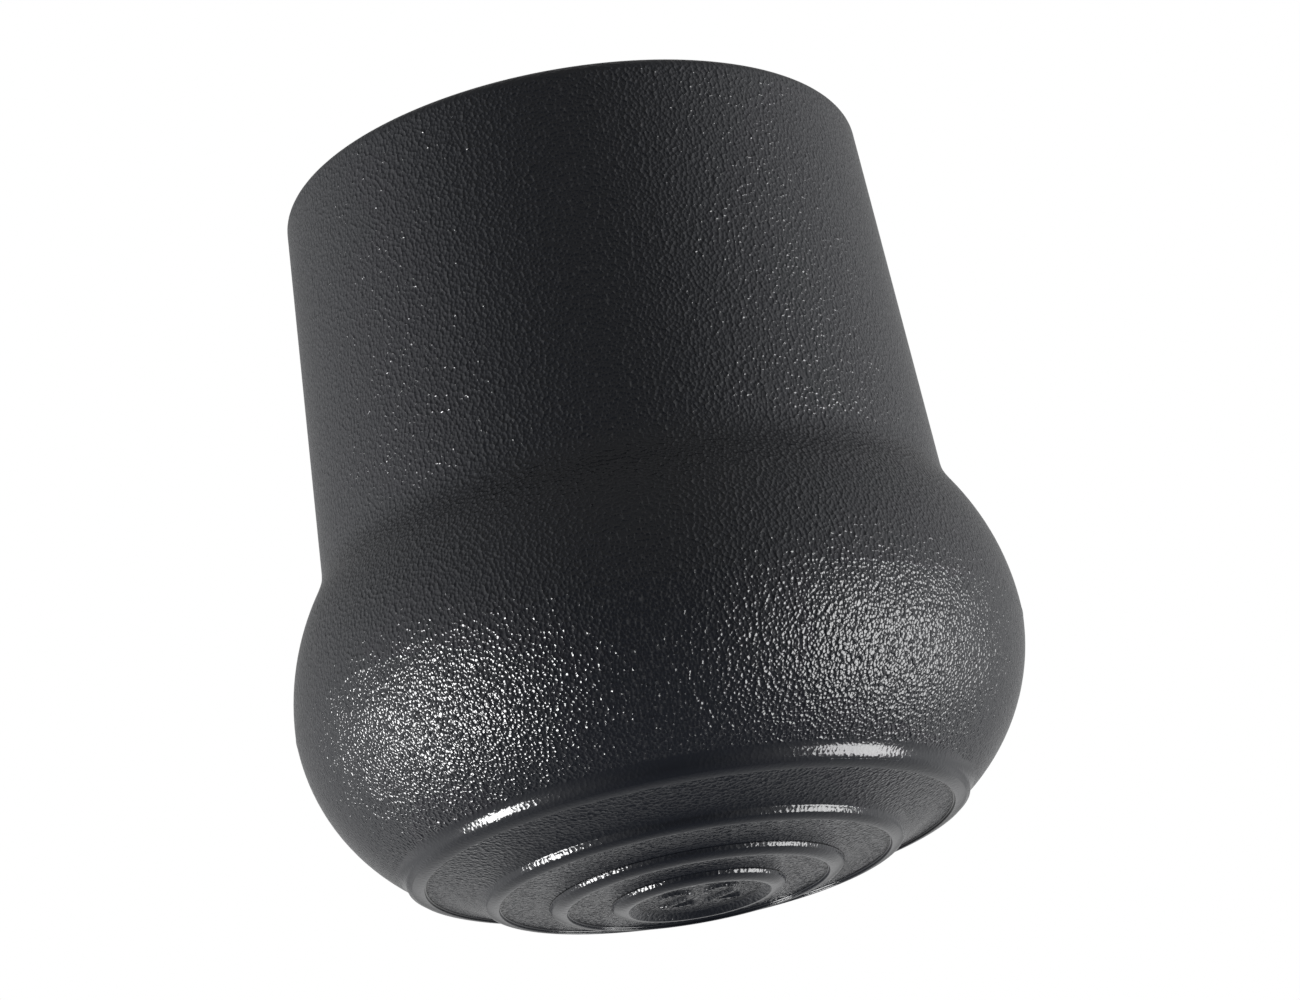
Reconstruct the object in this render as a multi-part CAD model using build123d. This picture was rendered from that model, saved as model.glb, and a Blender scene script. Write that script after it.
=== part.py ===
"""End cap for a round tube: a moulded sleeve over a round bulge, with a domed, ribbed sole.

The cap is one piece. It is turned about +Z, with the middle of the sole's lowest rib at the origin
and the tube's bore opening upwards. All sizes are in millimetres.
"""

import os
from math import cos, radians, sin

from build123d import *

# What the cap fits
tube_diameter = 22.0  # outside diameter of the round tube, pushed in without play

# Heights above the floor
overall_height = 34.8
neck_height = 16.7  # corner between the sleeve and the bulge
equator_height = 10.0  # widest part of the bulge, where the mould parts
bore_floor_height = 8.0  # where the tube's end comes to rest

# Widths, each measured out from the one before it
mouth_wall = 2.4  # tube to the outside of the sleeve, at the mouth
neck_wall = 3.3  # tube to the outside of the sleeve, at the neck
bulge_overhang = 2.2  # neck to the widest part of the bulge
sole_inset = 3.85  # widest part of the bulge in to the sole's edge

# Sole: rings of tread on a shallow dome, listed from the outermost, whose foot is the sole's edge
rib_pitches = (3.1, 2.92, 2.68)  # from each rib's inner edge in to the next one's
rib_falls = (1.34, 0.67, 0.36)  # from each rib's inner edge down to the next one's
rib_widths = (0.75, 0.76, 0.92, 1.1)
rib_heights = (0.67, 0.55, 0.47, 0.36)  # from the inner edge up to the outer foot
rib_outline = ((0.0, 0.0), (0.76, 0.3), (0.91, 0.48), (1.0, 1.0))  # shares of width and height
inner_wall_height = 0.15

# Pad inside the innermost rib
pad_recess = 0.3  # above the floor
pad_slope = 0.35  # width of the slope round the pad

# Draft and corners
flank_draft = 3.0  # degrees that the lower flank leans in where it leaves the equator
neck_round = 0.9  # fills the corner between the sleeve and the bulge
rim_bevel = 0.5
lead_in = 0.8  # guides the tube into the bore

# Radii that follow from the widths
bore_radius = tube_diameter / 2
mouth_radius = bore_radius + mouth_wall
neck_radius = bore_radius + neck_wall
bulge_radius = neck_radius + bulge_overhang
sole_radius = bulge_radius - sole_inset

# Radius and height of each rib's inner edge. The innermost stands on the floor
outer_rib = sole_radius - rib_widths[0]
rib_edges = [(outer_rib - sum(rib_pitches[:n]), sum(rib_falls[n:])) for n in range(len(rib_widths))]


def flank_radius(width, height, draft=0.0):
    """Radius of the arc that leaves the equator at this draft and reaches this far in and up."""
    return (width**2 + height**2) / (2 * (width * cos(draft) - height * sin(draft)))


def sole_profile():
    """The pad, then each rib and the ground outside it, out to the sole's edge.

    A rib has a sharp inner edge, a flat crest and a rounded outer side, which is in flats. The
    ground runs straight from a rib's foot to the next rib's inner wall.
    """
    innermost = rib_edges[-1][0]
    corners = [(0, pad_recess), (innermost - pad_slope, pad_recess)]
    for edge, width, height in reversed(list(zip(rib_edges, rib_widths, rib_heights))):
        if edge[0] > innermost:
            corners.append((edge[0], edge[1] + inner_wall_height))
        for across, up in rib_outline:
            corners.append((edge[0] + across * width, edge[1] + up * height))
    Polyline(*corners)


def body_profile():
    """From the sole's edge round the bulge, up the sleeve, over the rim and down the bore."""
    sole_edge = (sole_radius, rib_edges[0][1] + rib_heights[0])
    equator = (bulge_radius, equator_height)
    neck = (neck_radius, neck_height)
    lower_rise = equator_height - sole_edge[1]
    upper_rise = neck_height - equator_height
    RadiusArc(sole_edge, equator, -flank_radius(sole_inset, lower_rise, radians(flank_draft)))
    RadiusArc(equator, neck, -flank_radius(bulge_overhang, upper_rise))
    Polyline(
        neck,
        (mouth_radius, overall_height),
        (bore_radius, overall_height),
        (bore_radius, bore_floor_height),
        (0, bore_floor_height),
        (0, pad_recess),
    )


def corner(section, radius, height):
    """The section's own corner at this place."""
    return section.vertices().sort_by_distance((radius, height))[0]


def cap_section():
    """Half of the cap cut through its axis, with its corners broken."""
    with BuildSketch() as section:
        with BuildLine():
            sole_profile()
            body_profile()
        make_face()
        fillet(corner(section, neck_radius, neck_height), neck_round)
        chamfer(corner(section, mouth_radius, overall_height), rim_bevel)
        chamfer(corner(section, bore_radius, overall_height), lead_in)
    return Plane.XZ * section.sketch


end_cap = revolve(cap_section(), Axis.Z)

os.makedirs("parts", exist_ok=True)
export_step(end_cap, "parts/end_cap.step")
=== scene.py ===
"""A push-on rubber end cap for a round tube, standing on its ribbed sole.

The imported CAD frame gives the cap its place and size. One finer mesh stands for it here, with the
moulded rounds, the parting line, the raised size number and the grain that the CAD node leaves
out. Everything is in metres, in the CAD frame: the turning axis is Z, and the sole's innermost rib
touches Z = 0.
"""

import math

import bpy
import numpy as np
from mathutils import Matrix, Vector


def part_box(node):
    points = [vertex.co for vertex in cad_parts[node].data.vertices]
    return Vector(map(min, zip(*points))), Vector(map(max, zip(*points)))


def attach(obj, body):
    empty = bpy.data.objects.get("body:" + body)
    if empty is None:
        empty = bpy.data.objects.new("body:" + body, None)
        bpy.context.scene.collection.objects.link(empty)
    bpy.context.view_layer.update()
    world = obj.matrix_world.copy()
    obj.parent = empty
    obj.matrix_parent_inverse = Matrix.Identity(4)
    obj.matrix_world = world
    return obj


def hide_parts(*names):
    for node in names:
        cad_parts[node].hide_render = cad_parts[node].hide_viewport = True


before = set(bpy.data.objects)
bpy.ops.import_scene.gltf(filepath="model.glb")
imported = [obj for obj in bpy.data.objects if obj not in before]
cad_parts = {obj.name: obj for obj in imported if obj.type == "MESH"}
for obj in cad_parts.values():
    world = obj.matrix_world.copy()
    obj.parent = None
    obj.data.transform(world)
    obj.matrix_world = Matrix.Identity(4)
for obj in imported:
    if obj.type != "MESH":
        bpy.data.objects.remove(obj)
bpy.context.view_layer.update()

# ---------------------------------------------------------------------------------------------
# The cap's outline. One injection moulding in black rubber: a tapered sleeve that grips the tube,
# a round bulge, and a domed sole with four rings of tread. The mould parts at the widest place,
# and the cap is pushed onto the tube's end with no fastener.
# ---------------------------------------------------------------------------------------------

MM = 0.001

# Sizes in millimetres, worked in from the CAD node's own box
BULGE_OVERHANG = 2.2  # widest part of the bulge in to the neck
SLEEVE_TAPER = 0.9  # neck in to the outside of the mouth
MOUTH_WALL = 2.4  # outside of the mouth in to the tube
SOLE_INSET = 3.85  # widest part of the bulge in to the sole's edge
_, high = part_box("end_cap")
BULGE_RADIUS = high.x / MM
HEIGHT = high.z / MM
NECK_RADIUS = BULGE_RADIUS - BULGE_OVERHANG
MOUTH_RADIUS = NECK_RADIUS - SLEEVE_TAPER
BORE_RADIUS = MOUTH_RADIUS - MOUTH_WALL
SOLE_RADIUS = BULGE_RADIUS - SOLE_INSET
EQUATOR, NECK, BORE_FLOOR = 10.0, 16.7, 8.0
FLANK_DRAFT = math.radians(3.0)  # the lower flank leaves the parting line leaning in
NECK_ROUND, RIM_ROUND, BORE_ROUND, FLOOR_ROUND = 2.8, 0.6, 0.2, 0.3
LEAD_IN = 0.8  # the bevel that guides the tube into the bore
PAD_RECESS, PAD_SLOPE, PAD_ROUND = 0.3, 0.35, 0.25

# The ribs, listed from the outermost, whose foot is the sole's edge
RIB_PITCHES = (3.1, 2.92, 2.68)  # from each rib's inner edge in to the next one's
RIB_FALLS = (1.34, 0.67, 0.36)  # from each rib's inner edge down to the next one's
OUTER_RIB_WIDTH = 0.75
outer_rib = SOLE_RADIUS - OUTER_RIB_WIDTH
rib_edges = [(outer_rib - sum(RIB_PITCHES[:n]), sum(RIB_FALLS[n:])) for n in range(4)]


def flank_curve(reach, rise, draft=0.0):
    """Radius of the arc that leaves the equator at this draft and reaches this far in and up: the
    chord squared over twice its part across the arc's first direction."""
    return (reach**2 + rise**2) / (2 * (reach * math.cos(draft) - rise * math.sin(draft)))


def corner(radius, height, rounding=0.0, curve=0.0, steps=8, grain=1.0):
    """A corner of the outline: its place, its rounding, and the radius of the edge that leaves it,
    which is 0 for a straight edge and below 0 for a hollow one. Then that edge's number of steps,
    and how much of the mould's grain the surface takes there, from 0 to 1."""
    return dict(at=np.array([radius, height]), rounding=rounding, curve=curve, steps=steps,
                grain=grain)


def heading(start, end, curve, share):
    """Direction of an edge at a share of its length: the chord, turned by the part of the arc's
    angle that lies between that share and the middle."""
    chord = end - start
    half = math.asin(np.linalg.norm(chord) / 2 / curve) if curve else 0.0
    turn = half * (2 * share - 1)
    unit = chord / np.linalg.norm(chord)
    return np.array([unit[0] * math.cos(turn) - unit[1] * math.sin(turn),
                     unit[0] * math.sin(turn) + unit[1] * math.cos(turn)])


def edge_points(start, end, curve, shares):
    """Points of an edge at the given shares: on its chord, or on the arc through both ends, at the
    share of the arc's angle, with the circle's rise over the chord."""
    chord = end - start
    if not curve:
        return start + shares[:, None] * chord
    length = np.linalg.norm(chord)
    unit = chord / length
    side = np.array([-unit[1], unit[0]])
    half = math.asin(length / 2 / curve)
    turn = half * (2 * shares - 1)
    along = length / 2 + curve * np.sin(turn)
    rise = curve * (math.cos(half) - np.cos(turn))
    return start + along[:, None] * unit + rise[:, None] * side


ARC_STEP = 0.16  # radians of a rounding between two points


def rounding_arc(before, here, after):
    """A corner's rounding: how far it cuts into both edges, which is its radius times the tangent
    of half the turn, and the points of the arc between the two tangent points."""
    into = heading(before["at"], here["at"], before["curve"], 1.0)
    away = heading(here["at"], after["at"], here["curve"], 0.0)
    turn = math.atan2(into[0] * away[1] - into[1] * away[0], into @ away)
    cut = here["rounding"] * math.tan(abs(turn) / 2)
    tangent = here["at"] - into * cut
    spoke = math.copysign(here["rounding"], turn) * np.array([into[1], -into[0]])
    angles = turn * np.linspace(0, 1, max(4, round(abs(turn) / ARC_STEP)) + 1)[1:-1]
    return cut, tangent - spoke + np.stack([spoke[0] * np.cos(angles) - spoke[1] * np.sin(angles),
                                            spoke[0] * np.sin(angles) + spoke[1] * np.cos(angles)], 1)


def outline(corners):
    """The half section as points: each edge in steps that crowd towards its ends (half of one
    minus the cosine), then the rounding at its end. Gives the points and the grain of each."""
    cuts, arcs = [0.0] * len(corners), [None] * len(corners)
    for i in range(1, len(corners) - 1):
        if corners[i]["rounding"]:
            cuts[i], arcs[i] = rounding_arc(*corners[i - 1:i + 2])
    points, grains = [], []
    for i, here in enumerate(corners[:-1]):
        after = corners[i + 1]
        length = np.linalg.norm(after["at"] - here["at"])
        crowd = (1 - np.cos(np.linspace(0, math.pi, here["steps"] + 1))) / 2
        shares = cuts[i] / length + crowd * (1 - (cuts[i] + cuts[i + 1]) / length)
        if i and not cuts[i]:
            shares = shares[1:]  # a sharp corner is already there, as the last edge's end
        points.append(edge_points(here["at"], after["at"], here["curve"], shares))
        grains.append(np.full(len(shares), here["grain"]))
        if arcs[i + 1] is not None:
            points.append(arcs[i + 1])
            grains.append(np.full(len(arcs[i + 1]), min(here["grain"], after["grain"])))
    return np.concatenate(points), np.concatenate(grains)


# Each rib has a sharp inner edge, a crest that rolls away from it, a short steep side that bows
# out, and a toe that runs into the ground. The ground is a little hollow between the ribs, and
# outside the outermost it is the flank of the bulge
RIB_ROLLS = (1.75, 1.1, 1.2, 1.2)  # radius of the crest
RIB_LEANS = (9.0, 4.0, 1.5, 0.0)  # degrees that the crest leans as it leaves the inner edge
RIB_SHOULDERS = (28.0, 34.0, 34.0, 32.0)  # degrees that it leans where it meets the steep side
RIB_SIDES = (0.67, 0.46, 0.36, 0.33)  # from the inner edge up to the end of the steep side
RIB_TOES = (0.67, 0.62, 0.50, 0.49)  # from the inner edge up to the ground
TOE_ROUNDS = (1.0, 1.5, 0.8, 0.8)
SIDE_GRAINS = (0.2, 0.3, 0.45, 0.5)  # the steep side's share of the grain, least on the outermost
TOE_GRAIN_GAIN = 0.15  # the toe takes this much more of it
SIDE_SLOPE, TOE_SLOPE = math.tan(math.radians(70.0)), math.tan(math.radians(38.0))
SIDE_BOW = math.radians(19.0)  # how far the steep side leans either way from its chord
INNER_WALL = 0.15  # height of the small wall inside a rib's sharp edge, but the innermost's
WALL_ROUND, EDGE_ROUND, SHOULDER_ROUND, SIDE_ROUND = 0.05, 0.035, 0.1, 0.12
flank = flank_curve(SOLE_INSET, EQUATOR - rib_edges[0][1] - RIB_TOES[0], FLANK_DRAFT)
GROUND_CURVES = (flank, -20.0, -14.0, -12.0)

innermost = rib_edges[-1][0]
corners = [
    corner(innermost - PAD_SLOPE - PAD_ROUND, PAD_RECESS, steps=3),
    corner(innermost - PAD_SLOPE, PAD_RECESS, PAD_ROUND, steps=4, grain=0.6),
]
for n in reversed(range(len(rib_edges))):
    inner, crest = rib_edges[n]
    lean, shoulder = math.radians(RIB_LEANS[n]), math.radians(RIB_SHOULDERS[n])
    across = RIB_ROLLS[n] * (math.sin(shoulder) - math.sin(lean))
    up = RIB_ROLLS[n] * (math.cos(lean) - math.cos(shoulder))
    side = inner + across + (RIB_SIDES[n] - up) / SIDE_SLOPE
    bow = math.hypot(side - inner - across, RIB_SIDES[n] - up) / (2 * math.sin(SIDE_BOW))
    if inner > innermost:
        corners.append(corner(inner, crest + INNER_WALL, WALL_ROUND, steps=3, grain=0.0))
    corners += [
        corner(inner, crest, EDGE_ROUND, RIB_ROLLS[n], steps=6, grain=0.1),
        corner(inner + across, crest + up, SHOULDER_ROUND, bow, steps=5, grain=SIDE_GRAINS[n]),
    ]
    if n:
        toe = side + (RIB_TOES[n] - RIB_SIDES[n]) / TOE_SLOPE
        corners += [
            corner(side, crest + RIB_SIDES[n], SIDE_ROUND, steps=3,
                   grain=SIDE_GRAINS[n] + TOE_GRAIN_GAIN),
            corner(toe, crest + RIB_TOES[n], TOE_ROUNDS[n], GROUND_CURVES[n], steps=8, grain=0.7),
        ]
    else:
        corners.append(corner(SOLE_RADIUS, crest + RIB_TOES[n], TOE_ROUNDS[n], GROUND_CURVES[n],
                              steps=26))

corners += [
    corner(BULGE_RADIUS, EQUATOR, curve=flank_curve(BULGE_OVERHANG, NECK - EQUATOR), steps=24),
    corner(NECK_RADIUS, NECK, NECK_ROUND, steps=16),
    corner(MOUTH_RADIUS, HEIGHT, RIM_ROUND, steps=3, grain=0.5),
    corner(BORE_RADIUS + LEAD_IN, HEIGHT, BORE_ROUND, steps=3, grain=0.0),
    corner(BORE_RADIUS, HEIGHT - LEAD_IN, BORE_ROUND, steps=12, grain=0.0),
    corner(BORE_RADIUS, BORE_FLOOR, FLOOR_ROUND, steps=8, grain=0.0),
    corner(0, BORE_FLOOR),
]
profile, grain = outline(corners)

# Parting line: a faint flash where the two halves of the mould meet, a bell curve in section
FLASH_HEIGHT, FLASH_SPREAD = 0.012, 0.06
outside = profile[:, 0] > (NECK_RADIUS + BULGE_RADIUS) / 2
profile[:, 0] += FLASH_HEIGHT * outside * np.exp(-(((profile[:, 1] - EQUATOR) / FLASH_SPREAD) ** 2))

# ---------------------------------------------------------------------------------------------
# The pad in the middle of the sole. It carries the tube's diameter in plain raised figures, cut
# into the mould with a round-ended tool, so that their edges are soft.
# ---------------------------------------------------------------------------------------------

FIGURE_HEIGHT, FIGURE_WIDTH, FIGURE_GAP = 2.3, 1.35, 0.7
STROKE_HALF, STROKE_EDGE, RELIEF = 0.16, 0.12, 0.12


def figure_two(left):
    """The strokes of a figure 2 whose box starts at this x: most of a circle at the top, a
    diagonal to the lower left corner, and a foot. Gives the points of one open line."""
    radius = FIGURE_WIDTH / 2
    around = np.radians(np.linspace(170, -35, 14))
    centre = np.array([left + radius, FIGURE_HEIGHT / 2 - radius])
    bow = centre + radius * np.stack([np.cos(around), np.sin(around)], 1)
    foot = [(left, -FIGURE_HEIGHT / 2), (left + FIGURE_WIDTH, -FIGURE_HEIGHT / 2)]
    return np.concatenate([bow, foot])


def stroke_distance(points, line):
    """Distance from each point to an open line: to the nearest place on each of its segments,
    with the share along the segment held between 0 and 1, and the least of all segments."""
    start, span = line[:-1], np.diff(line, axis=0)
    away = points[:, None] - start
    share = np.clip((away * span).sum(2) / (span**2).sum(1), 0, 1)
    return np.linalg.norm(away - share[..., None] * span, axis=2).min(1)


def pad_height(x, y):
    """Height of the pad at a point: its flat, lowered by the relief inside the strokes, with a
    smooth step (3 t squared minus 2 t cubed) over the strokes' soft edge. Seen from below, the
    figures run along Y and stand up along X."""
    upright = np.stack([y.ravel(), x.ravel()], 1)
    lefts = (-FIGURE_GAP / 2 - FIGURE_WIDTH, FIGURE_GAP / 2)
    distance = np.min([stroke_distance(upright, figure_two(left)) for left in lefts], axis=0)
    t = np.clip((STROKE_HALF + STROKE_EDGE / 2 - distance) / STROKE_EDGE, 0, 1)
    return PAD_RECESS - RELIEF * (3 * t**2 - 2 * t**3).reshape(x.shape)


# ---------------------------------------------------------------------------------------------
# The cap's mesh and its rubber. The pad and the outline are turned about the axis into one closed
# skin, as the mould gives it in one shot, with no seam but the parting line.
# ---------------------------------------------------------------------------------------------

TURNS = 240  # points round each ring
PAD_RINGS = 48

# Rings of the pad, then rings of the outline, whose last point is the pole of the bore's floor
pad_radii = np.linspace(0, profile[0, 0], PAD_RINGS + 1)[1:-1]
pad = slice(0, len(pad_radii))
ring_radii = np.concatenate([pad_radii, profile[:-1, 0]])
ring_grain = np.concatenate([np.ones(len(pad_radii)), grain[:-1]])
bearings = np.linspace(0, 2 * math.pi, TURNS, endpoint=False)
grid_x, grid_y = np.outer(ring_radii, np.cos(bearings)), np.outer(ring_radii, np.sin(bearings))
grid_z = np.empty_like(grid_x)
grid_z[pad] = pad_height(grid_x[pad], grid_y[pad])
grid_z[len(pad_radii):] = profile[:-1, 1:]


def closed_skin(name, x, y, z, first_pole, last_pole):
    """A mesh over a grid whose rows are rings: point (i, k) joins (i + 1, k) and its neighbour
    round the ring, and a fan closes the first and the last ring on a pole of its own."""
    rings, turns = x.shape
    k = np.arange(turns)
    after = (k + 1) % turns
    rows = np.arange(rings - 1)[:, None] * turns
    quads = np.stack([rows + k, rows + turns + k, rows + turns + after, rows + after], -1)
    last = (rings - 1) * turns
    first_fan = np.stack([np.full(turns, x.size), k, after], -1)
    last_fan = np.stack([np.full(turns, x.size + 1), last + after, last + k], -1)
    points = np.concatenate([np.stack([x, y, z], -1).reshape(-1, 3), [first_pole, last_pole]])
    sizes = np.concatenate([np.full(quads.size // 4, 4), np.full(2 * turns, 3)])
    mesh = bpy.data.meshes.new(name)
    mesh.vertices.add(len(points))
    mesh.vertices.foreach_set("co", (points * MM).ravel())
    mesh.loops.add(quads.size + 6 * turns)
    mesh.loops.foreach_set("vertex_index", np.concatenate(
        [quads.ravel(), first_fan.ravel(), last_fan.ravel()]))
    mesh.polygons.add(len(sizes))
    mesh.polygons.foreach_set("loop_start", np.concatenate([[0], np.cumsum(sizes)[:-1]]))
    mesh.polygons.foreach_set("use_smooth", np.ones(len(sizes), bool))
    mesh.update(calc_edges=True)
    return mesh


pad_middle = pad_height(np.zeros(1), np.zeros(1))[0]
skin = closed_skin("end_cap_moulding", grid_x, grid_y, grid_z, (0, 0, pad_middle),
                   (0, 0, BORE_FLOOR))
skin.attributes.new("grain", "FLOAT", "POINT").data.foreach_set(
    "value", np.concatenate([np.repeat(ring_grain, TURNS), [1.0, 0.0]]))
cap = bpy.data.objects.new("end_cap_moulding", skin)
bpy.context.collection.objects.link(cap)
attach(cap, "root")
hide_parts("end_cap")


def linear(hex_colour):
    """The linear colour of an sRGB hex value: the usual curve, ((c + 0.055) / 1.055) to the 2.4."""
    srgb = [int(hex_colour[i:i + 2], 16) / 255 for i in (1, 3, 5)]
    return tuple(c / 12.92 if c <= 0.04045 else ((c + 0.055) / 1.055) ** 2.4 for c in srgb) + (1,)


def node(tree, kind, links=None, inputs=None, **settings):
    """Adds a node of a kind, with its settings, its input values and its incoming links."""
    made = tree.nodes.new(kind)
    for key, value in settings.items():
        setattr(made, key, value)
    for key, value in (inputs or {}).items():
        made.inputs[key].default_value = value
    for key, socket in (links or {}).items():
        tree.links.new(socket, made.inputs[key])
    return made


# Black rubber, injection moulded in a spark-eroded mould. The mould's grain is small round pits
# close together, on soft uneven swells. It breaks every highlight into bright specks, and the
# rubber itself stays almost black between them. It is weaker on the ribs and missing in the bore
GRAIN_PITCH = 0.165  # millimetres from one pit to the next
GRAIN_DEPTH = 0.05  # millimetres
SWELL = 0.65  # weight of the swells against the pits
rubber = bpy.data.materials.new("moulded_rubber")
rubber.use_nodes = True
tree = rubber.node_tree
tree.nodes.clear()
place = node(tree, "ShaderNodeTexCoord").outputs["Object"]
cells = node(tree, "ShaderNodeTexVoronoi", {"Vector": place}, {"Scale": 1 / (GRAIN_PITCH * MM)},
             feature="F1")
pits = node(tree, "ShaderNodeMath", {0: cells.outputs["Distance"]}, {1: 2.0}, operation="POWER")
swell = node(tree, "ShaderNodeTexNoise", {"Vector": place},
             {"Scale": 1 / (GRAIN_PITCH * MM), "Detail": 0.0})
relief = node(tree, "ShaderNodeMath", {0: swell.outputs["Fac"], 2: pits.outputs["Value"]},
              {1: SWELL}, operation="MULTIPLY_ADD")
weight = node(tree, "ShaderNodeAttribute", attribute_name="grain")
bump = node(tree, "ShaderNodeBump",
            {"Height": relief.outputs["Value"], "Strength": weight.outputs["Fac"]},
            {"Distance": GRAIN_DEPTH * MM})
shader = node(tree, "ShaderNodeBsdfPrincipled", {"Normal": bump.outputs["Normal"]},
              {"Base Color": linear("#16181d"), "Roughness": 0.14, "IOR": 1.5})
node(tree, "ShaderNodeOutputMaterial", {"Surface": shader.outputs["BSDF"]})
cap.data.materials.append(rubber)

# ---------------------------------------------------------------------------------------------
# The floor. A pale matt studio board that fades into the white round about. It is one-sided:
# from below it can't be seen, so the camera looks past it at the sole, and it lets the light of
# the low soft boxes through.
# ---------------------------------------------------------------------------------------------

FLOOR_HALF = 0.6
FADE_START, FADE_END = 0.08, 0.35  # metres from the cap's axis
LIFT = 0.55  # brightness added for the camera alone, so that the board looks pale
board = bpy.data.meshes.new("floor")
board.from_pydata([(-FLOOR_HALF, -FLOOR_HALF, 0), (FLOOR_HALF, -FLOOR_HALF, 0),
                   (FLOOR_HALF, FLOOR_HALF, 0), (-FLOOR_HALF, FLOOR_HALF, 0)], [], [(0, 1, 2, 3)])
floor = bpy.data.objects.new("floor", board)
bpy.context.collection.objects.link(floor)
floor.visible_shadow = False
floor.visible_diffuse = False
floor.visible_glossy = False

paint = bpy.data.materials.new("pale_board")
paint.use_nodes = True
tree = paint.node_tree
tree.nodes.clear()
place = node(tree, "ShaderNodeTexCoord").outputs["Object"]
distance = node(tree, "ShaderNodeVectorMath", {0: place}, operation="LENGTH")
fade = node(tree, "ShaderNodeMapRange", {"Value": distance.outputs["Value"]},
            {"From Min": FADE_START, "From Max": FADE_END}, interpolation_type="SMOOTHSTEP")
below = node(tree, "ShaderNodeNewGeometry").outputs["Backfacing"]
gone = node(tree, "ShaderNodeMath", {0: fade.outputs["Result"], 1: below}, operation="MAXIMUM")
matt = node(tree, "ShaderNodeBsdfDiffuse", inputs={"Color": linear("#f4f4f4")})
seen = node(tree, "ShaderNodeLightPath").outputs["Is Camera Ray"]
lift = node(tree, "ShaderNodeMath", {0: seen}, {1: LIFT}, operation="MULTIPLY")
glow = node(tree, "ShaderNodeEmission", {"Strength": lift.outputs["Value"]})
pale = node(tree, "ShaderNodeAddShader", {0: matt.outputs["BSDF"], 1: glow.outputs["Emission"]})
clear = node(tree, "ShaderNodeBsdfTransparent")
shown = node(tree, "ShaderNodeMixShader",
             {0: gone.outputs["Value"], 1: pale.outputs["Shader"], 2: clear.outputs["BSDF"]})
node(tree, "ShaderNodeOutputMaterial", {"Surface": shown.outputs["Shader"]})
board.materials.append(paint)

# ---------------------------------------------------------------------------------------------
# The light. A white room behind and beside the cap, dim on the side it is seen from, and two
# soft boxes, one each side, which stand below the floor's level and so catch the bulge and the
# outer sides of the ribs. The left one is smaller and harder.
# ---------------------------------------------------------------------------------------------

SOFTBOX_DISTANCE = 0.4
SOFTBOX_SHAPE = 1.2  # height over width
SOFTBOX_AIM = Vector((0, 0, 0.012))  # on the axis, a little above the parting line
for name, bearing, rise, width, power in (  # degrees from +X and from level, metres, watts
    ("softbox_left", -79, -22, 0.13, 2.1),
    ("softbox_right", 81, -23, 0.22, 2.05),
):
    lamp = bpy.data.lights.new(name, "AREA")
    lamp.shape = "RECTANGLE"
    lamp.size, lamp.size_y = width, width * SOFTBOX_SHAPE
    lamp.energy = power
    softbox = bpy.data.objects.new(name, lamp)
    bpy.context.collection.objects.link(softbox)
    level = math.cos(math.radians(rise))
    spot = SOFTBOX_DISTANCE * Vector((math.cos(math.radians(bearing)) * level,
                                      math.sin(math.radians(bearing)) * level,
                                      math.sin(math.radians(rise))))
    softbox.location = spot + SOFTBOX_AIM
    softbox.rotation_euler = (-spot).to_track_quat("-Z", "Y").to_euler()

world = bpy.data.worlds.new("studio")
bpy.context.scene.world = world
world.use_nodes = True
tree = world.node_tree
tree.nodes.clear()
direction = node(tree, "ShaderNodeTexCoord").outputs["Generated"]
toward = node(tree, "ShaderNodeSeparateXYZ", {0: direction})

# Each ramp gives a brightness for the X or the Z of the direction, from -1 to 1: the wall behind
# the cap, the share of it that each height keeps, and the least light there is at each height
ramps = []
for axis, stops in (
    ("X", ((-0.97, 1.0), (-0.94, 0.72), (-0.84, 0.46), (-0.55, 0.22), (-0.3, 0.06))),
    ("Z", ((-0.25, 1.0), (-0.06, 0.25), (0.12, 0.45), (0.35, 0.45), (0.75, 0.2))),
    ("Z", ((-0.8, 0.03), (0.0, 0.09), (0.2, 0.13), (0.4, 0.25))),
):
    share = node(tree, "ShaderNodeMapRange", {"Value": toward.outputs[axis]}, {"From Min": -1.0})
    ramp = node(tree, "ShaderNodeValToRGB", {"Fac": share.outputs["Result"]})
    for _ in stops[2:]:
        ramp.color_ramp.elements.new(1.0)
    for element, (at, brightness) in zip(ramp.color_ramp.elements, stops):
        element.position = (at + 1) / 2
        element.color = (brightness, brightness, brightness, 1)
    ramps.append(ramp.outputs["Color"])
behind, kept, least = ramps
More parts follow.
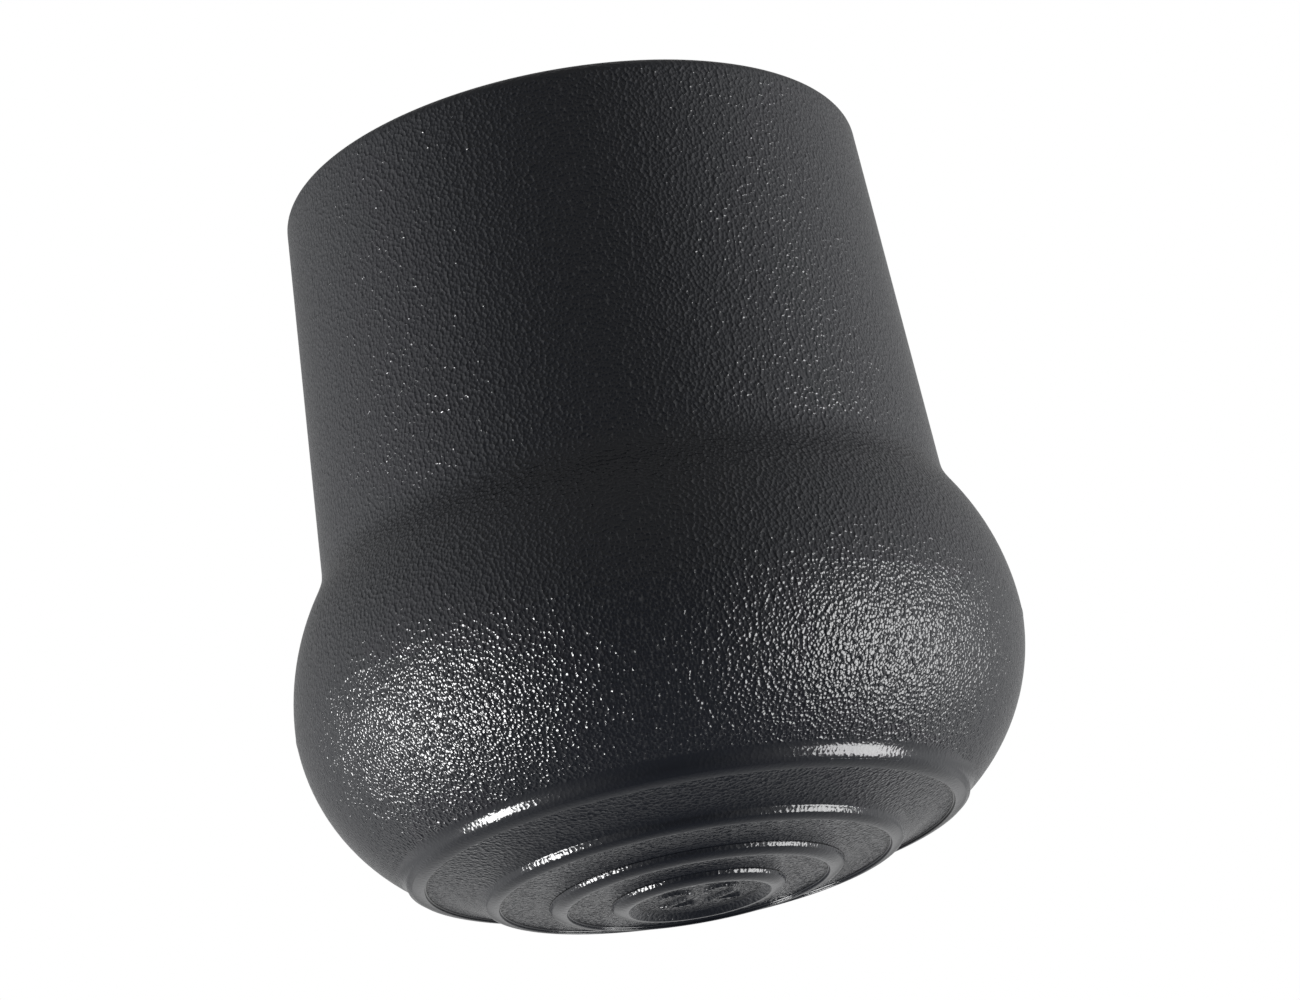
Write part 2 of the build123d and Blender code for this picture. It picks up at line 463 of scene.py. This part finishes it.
back = node(tree, "ShaderNodeMath", {0: behind, 1: kept}, operation="MULTIPLY")

# The walls beside the cap add Y times the sum of Y and a little, so the right one is brighter
RIGHT_GAIN = 0.06
shifted = node(tree, "ShaderNodeMath", {0: toward.outputs["Y"]}, {1: RIGHT_GAIN}, operation="ADD")
beside = node(tree, "ShaderNodeMath", {0: toward.outputs["Y"], 1: shifted.outputs["Value"]},
              operation="MULTIPLY")
walls = node(tree, "ShaderNodeMath", {0: back.outputs["Value"], 1: beside.outputs["Value"]},
             operation="ADD")
strength = node(tree, "ShaderNodeMath", {0: walls.outputs["Value"], 1: least},
                operation="MAXIMUM")
room = node(tree, "ShaderNodeBackground", {"Strength": strength.outputs["Value"]},
            {"Color": linear("#ffffff")})
white = node(tree, "ShaderNodeBackground", inputs={"Color": linear("#ffffff"), "Strength": 1.0})
seen = node(tree, "ShaderNodeLightPath").outputs["Is Camera Ray"]
shown = node(tree, "ShaderNodeMixShader",
             {0: seen, 1: room.outputs["Background"], 2: white.outputs["Background"]})
node(tree, "ShaderNodeOutputWorld", {"Surface": shown.outputs["Shader"]})

# ---------------------------------------------------------------------------------------------
# The camera. It looks up at the cap from below the floor, so that the sole shows, and leans.
# ---------------------------------------------------------------------------------------------

STAND = Vector((0.1714, 0.0, -0.0387))  # metres
AIM = Vector((0.0, 0.00101, 0.01879))
LEAN = math.radians(-10.39)
camera_data = bpy.data.cameras.new("camera")
camera_data.lens = 109.8
camera_data.sensor_width = 36.0
camera_data.clip_start, camera_data.clip_end = 0.01, 10.0
camera = bpy.data.objects.new("camera", camera_data)
bpy.context.collection.objects.link(camera)
forward = (AIM - STAND).normalized()
right = forward.cross(Vector((0, 0, 1))).normalized()
up = right.cross(forward)
leaning_right = math.cos(LEAN) * right + math.sin(LEAN) * up
leaning_up = math.cos(LEAN) * up - math.sin(LEAN) * right
camera.matrix_world = Matrix.Translation(STAND) @ Matrix(
    (leaning_right, leaning_up, -forward)).transposed().to_4x4()
bpy.context.scene.camera = camera
bpy.context.scene.view_settings.view_transform = "Standard"
